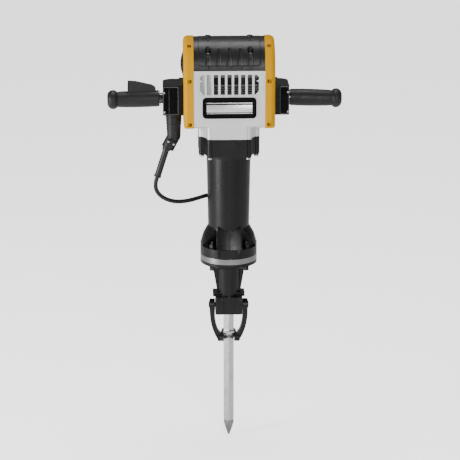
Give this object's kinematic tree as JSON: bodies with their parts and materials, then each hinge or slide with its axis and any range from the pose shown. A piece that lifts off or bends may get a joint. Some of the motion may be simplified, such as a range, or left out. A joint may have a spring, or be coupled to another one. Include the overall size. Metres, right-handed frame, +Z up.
{
  "type": "demolition hammer",
  "caption": "Upright electric pavement breaker with a transverse motor housing, sprung side handles, long barrel, swinging tool retainer and a pointed hexagonal steel.",
  "frame": {"origin": "on the tool axis, where it crosses the line of the two side grips; the operator holds the tool there", "axes": "+Z up along the tool axis, away from the steel; +X to the right-hand grip as seen from the badge side; -Y out of the badge"},
  "size_m": [0.652, 0.1965, 1.1775],
  "materials": {
    "silver_housing": "satin painted casting",
    "dark_cover": "fine-textured",
    "yellow_cover": "satin moulded",
    "black_plastic": "fine-textured",
    "gloss_black": "glossy",
    "black_casting": "black painted casting",
    "nose_steel": "black phosphated",
    "bright_ring": "turned and brushed",
    "forged_steel": "hardened and ground",
    "black_steel": "black phosphated forging",
    "machined_steel": "machined",
    "fastener_steel": "zinc plated",
    "copper": "enamelled winding",
    "lamination": "stacked sheet",
    "cast_plate": "as cast",
    "rubber_grip": "soft matt",
    "cord_rubber": "smooth jacket",
    "strap_web": "hook and loop"
  },
  "bodies": {
    "housing": {"gear_housing": "silver_housing", "motor_cover": "dark_cover", "left_side_cover": "yellow_cover", "right_side_cover": "yellow_cover", "motor_end_cap": "black_plastic", "badge_plate": "gloss_black", "vent_baffle": "black_plastic", "rear_panel": "black_plastic", "side_cover_screws": "fastener_steel", "cover_screws": "fastener_steel", "gear_plate": "cast_plate", "motor_end_plate": "cast_plate", "control_module": "black_plastic", "field_core": "lamination", "field_coils": "copper", "brush_gear": "copper", "bearings": "machined_steel", "barrel_housing": "black_casting", "collar_bolts": "fastener_steel", "cylinder_sleeve": "machined_steel", "striker_guide": "machined_steel", "spacer_ring": "bright_ring", "nose_housing": "nose_steel", "flange_bolts": "fastener_steel", "hex_bush": "machined_steel", "retainer_bolts": "black_steel", "left_hub": "black_plastic", "right_hub": "black_plastic", "hub_plates": "gloss_black", "hub_studs": "fastener_steel", "left_hub_springs": "fastener_steel", "right_hub_springs": "fastener_steel", "cord_boot": "black_plastic", "strain_relief": "cord_rubber", "cord_lead": "cord_rubber", "cord_hank": "cord_rubber", "cord_tie": "strap_web", "plug": "cord_rubber"},
    "armature": {"armature": "lamination", "armature_windings": "copper", "commutator": "copper", "cooling_fan": "black_plastic"},
    "idler": {"idler_gear": "machined_steel"},
    "crank": {"crank_gear": "machined_steel", "crank_disc": "machined_steel"},
    "piston": {"rod_pins": "machined_steel", "connecting_rod": "cast_plate", "piston": "cast_plate"},
    "ram": {"ram": "machined_steel"},
    "striker": {"striker": "machined_steel"},
    "steel": {"steel": "forged_steel"},
    "retainer": {"retainer": "black_steel"},
    "left_handle": {"left_arm": "cast_plate", "left_grip": "rubber_grip", "trigger_switch": "black_plastic", "trigger_spring": "fastener_steel"},
    "right_handle": {"right_arm": "cast_plate", "right_grip": "rubber_grip"},
    "trigger": {"trigger": "black_plastic"},
    "switch_plunger": {"switch_plunger": "black_plastic"}
  },
  "joints": [
    {"name": "armature_spin", "type": "hinge", "parent": "housing", "child": "armature", "pos_m": [0, 0, 0.096], "axis": [1, 0, 0], "continuous": true},
    {"name": "idler_spin", "type": "hinge", "parent": "housing", "child": "idler", "pos_m": [0.08, 0.02094, 0.04623], "axis": [1, 0, 0], "continuous": true},
    {"name": "crank_spin", "type": "hinge", "parent": "housing", "child": "crank", "pos_m": [0.06, 0, -0.01], "axis": [1, 0, 0], "continuous": true},
    {"name": "piston_slide", "type": "slide", "parent": "housing", "child": "piston", "axis": [0, 0, -1], "range_m": [0, 0.05]},
    {"name": "ram_slide", "type": "slide", "parent": "housing", "child": "ram", "axis": [0, 0, 1], "range_m": [0, 0.085]},
    {"name": "striker_slide", "type": "slide", "parent": "housing", "child": "striker", "axis": [0, 0, 1], "range_m": [0, 0.0105]},
    {"name": "steel_slide", "type": "slide", "parent": "housing", "child": "steel", "axis": [0, 0, 1], "range_m": [0, 0.0545]},
    {"name": "retainer_swing", "type": "hinge", "parent": "housing", "child": "retainer", "pos_m": [0, 0, -0.605], "axis": [1, 0, 0], "range_deg": [0, 95]},
    {"name": "left_handle_float", "type": "hinge", "parent": "housing", "child": "left_handle", "pos_m": [-0.136, 0, 0], "axis": [0, 1, 0], "range_deg": [-3, 3], "stiffness_Nm_per_rad": 400, "deforming": ["left_hub_springs"]},
    {"name": "right_handle_float", "type": "hinge", "parent": "housing", "child": "right_handle", "pos_m": [0.136, 0, 0], "axis": [0, -1, 0], "range_deg": [-3, 3], "stiffness_Nm_per_rad": 400, "deforming": ["right_hub_springs"]},
    {"name": "trigger_press", "type": "hinge", "parent": "left_handle", "child": "trigger", "pos_m": [-0.207, 0, 0.012], "axis": [0, -1, 0], "range_deg": [0, 9], "stiffness_Nm_per_rad": 1.2, "springref_deg": -8.59, "deforming": ["trigger_spring"]},
    {"name": "switch_travel", "type": "slide", "parent": "left_handle", "child": "switch_plunger", "axis": [0, 0, -1], "range_m": [0, 0.0026]}
  ],
  "couplings": [
    {"joint": "idler_spin", "follows": "armature_spin", "ratio": -0.2},
    {"joint": "crank_spin", "follows": "armature_spin", "ratio": 0.05},
    {"joint": "switch_travel", "follows": "trigger_press", "m_per_rad": 0.015}
  ]
}
